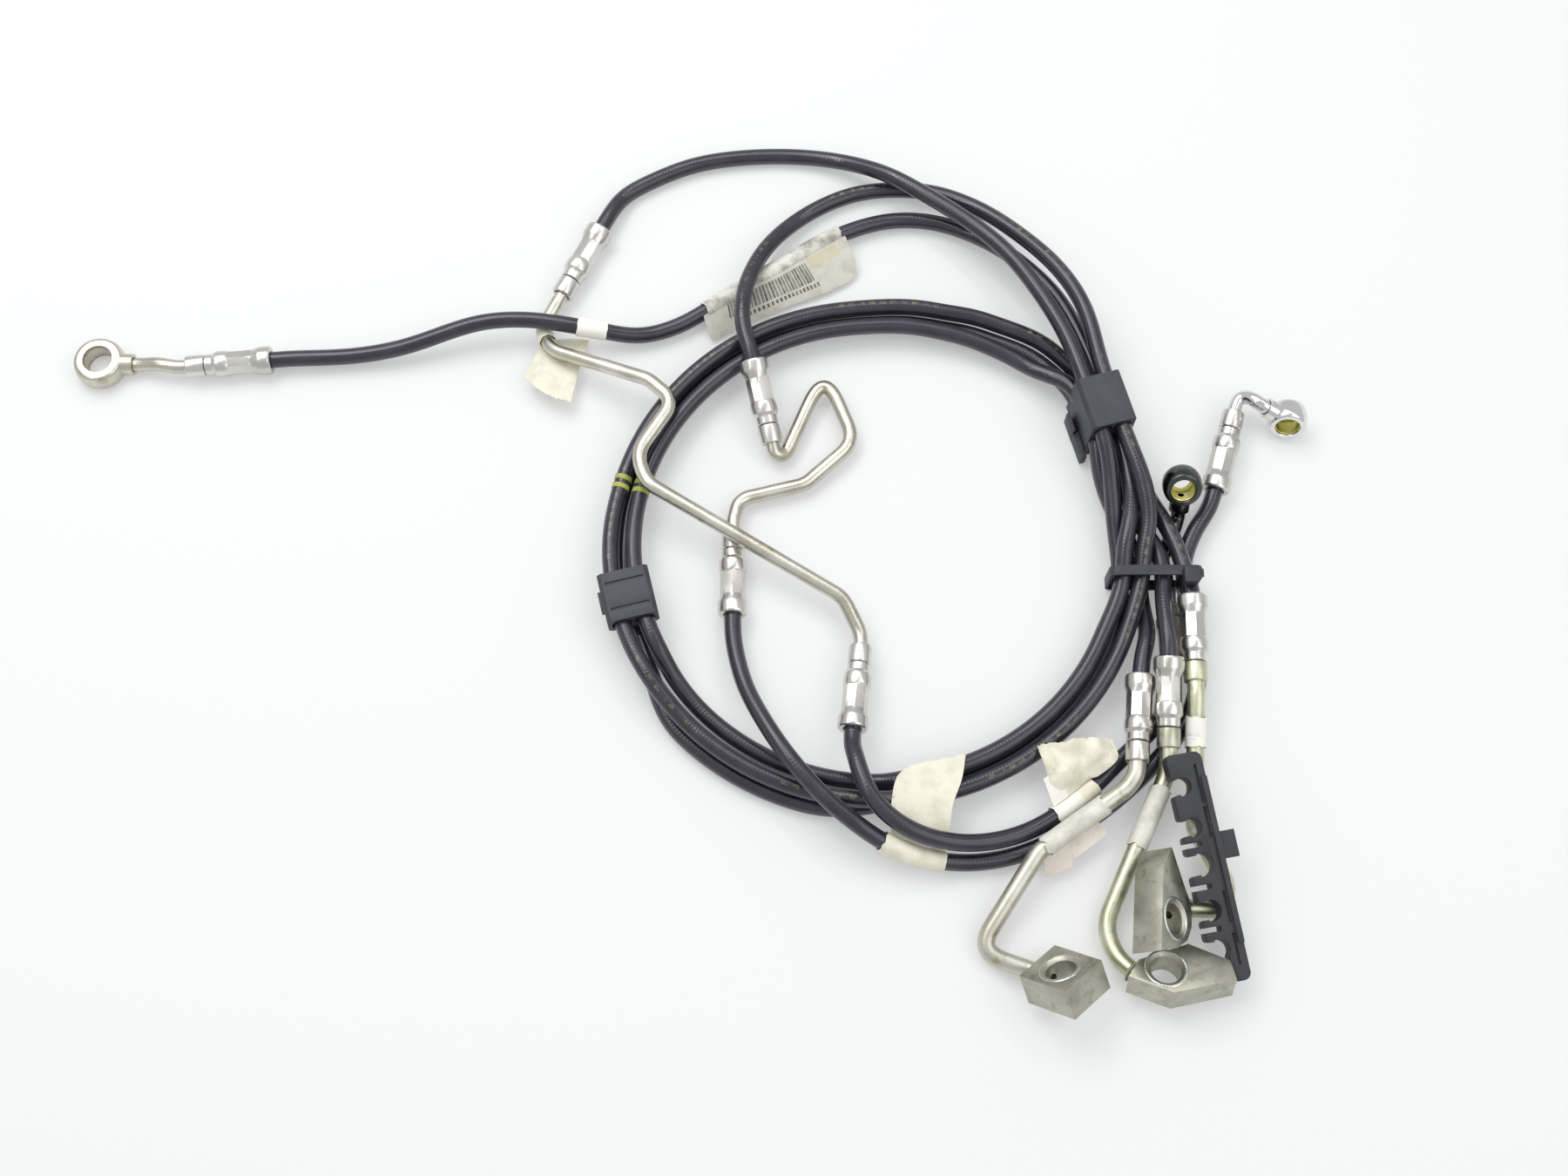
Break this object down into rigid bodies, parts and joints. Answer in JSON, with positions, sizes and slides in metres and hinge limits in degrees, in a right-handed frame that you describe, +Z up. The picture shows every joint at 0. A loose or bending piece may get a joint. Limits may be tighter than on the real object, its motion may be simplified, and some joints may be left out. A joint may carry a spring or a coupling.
{
  "type": "hydraulic hose assembly",
  "caption": "Coiled brake lines of flexible hose, crimped ferrules and bent hard tube, ending in banjo eyes and port blocks, with clips, a tie and paper wraps.",
  "frame": {"origin": "centre of the bounding box of the rigid pieces, on the floor that the set lies on", "axes": "+X from the left banjo eye toward the right banjo eye, +Y away from the port blocks toward the top of the coil, +Z up from the floor"},
  "size_m": [0.526, 0.387, 0.0319],
  "materials": {
    "hose_rubber": "satin black rubber",
    "ferrule_zinc": "bright zinc-plated steel",
    "line_zinc": "warm zinc-nickel plated steel",
    "passivated_zinc": "yellow-green passivated zinc",
    "bright_plating": "polished bright plating",
    "black_plating": "gloss black plating",
    "block_zinc": "dull grey-green zinc plating",
    "clip_plastic": "matte dark grey moulded plastic",
    "label_paper": "off-white paper label stock"
  },
  "bodies": {
    "root": {"hose_a_inlet_ferrule": "ferrule_zinc", "hose_a_inlet_collar": "ferrule_zinc", "hose_b_inlet_ferrule": "ferrule_zinc", "hose_b_inlet_collar": "ferrule_zinc", "hose_c_inlet_ferrule": "ferrule_zinc", "hose_c_inlet_collar": "ferrule_zinc", "hose_d_inlet_ferrule": "ferrule_zinc", "hose_d_inlet_collar": "ferrule_zinc", "hose_e_inlet_ferrule": "ferrule_zinc", "hose_e_inlet_collar": "ferrule_zinc", "hose_a_outlet_ferrule": "ferrule_zinc", "hose_a_outlet_collar": "passivated_zinc", "hose_b_outlet_ferrule": "ferrule_zinc", "hose_b_outlet_collar": "passivated_zinc", "hose_c_outlet_ferrule": "ferrule_zinc", "hose_c_outlet_collar": "passivated_zinc", "hose_d_outlet_ferrule": "ferrule_zinc", "hose_d_outlet_collar": "ferrule_zinc", "hose_e_outlet_ferrule": "ferrule_zinc", "hose_e_outlet_collar": "ferrule_zinc", "left_banjo_eye": "line_zinc", "right_banjo_eye": "bright_plating", "dark_banjo_eye": "black_plating", "block_a": "block_zinc", "block_b": "block_zinc", "block_c": "block_zinc", "mid_line_long": "line_zinc", "mid_line_short": "line_zinc", "left_banjo_tube": "line_zinc", "right_banjo_tube": "bright_plating", "dark_banjo_tube": "black_plating", "block_a_tube": "line_zinc", "block_b_tube": "passivated_zinc", "block_c_tube": "passivated_zinc", "hose_a_lead": "hose_rubber", "hose_a_coil": "hose_rubber", "hose_a_tail": "hose_rubber", "hose_b_lead": "hose_rubber", "hose_b_coil": "hose_rubber", "hose_b_tail": "hose_rubber", "hose_c_lead": "hose_rubber", "hose_c_coil": "hose_rubber", "hose_c_tail": "hose_rubber", "hose_d": "hose_rubber", "hose_e": "hose_rubber", "twin_clip": "clip_plastic", "bundle_clip": "clip_plastic", "bundle_clip_latch": "clip_plastic", "zip_tie": "clip_plastic", "comb_clip": "clip_plastic", "paper_wrap_label": "label_paper", "paper_wrap_hose_a": "label_paper", "paper_wrap_hose_d": "label_paper", "paper_wrap_hose_e": "label_paper", "paper_wrap_hose_d_side": "label_paper", "paper_wrap_long_line": "label_paper", "paper_wrap_block_a": "label_paper", "paper_wrap_block_b": "label_paper", "paper_wrap_block_c": "label_paper"}
  },
  "joints": []
}
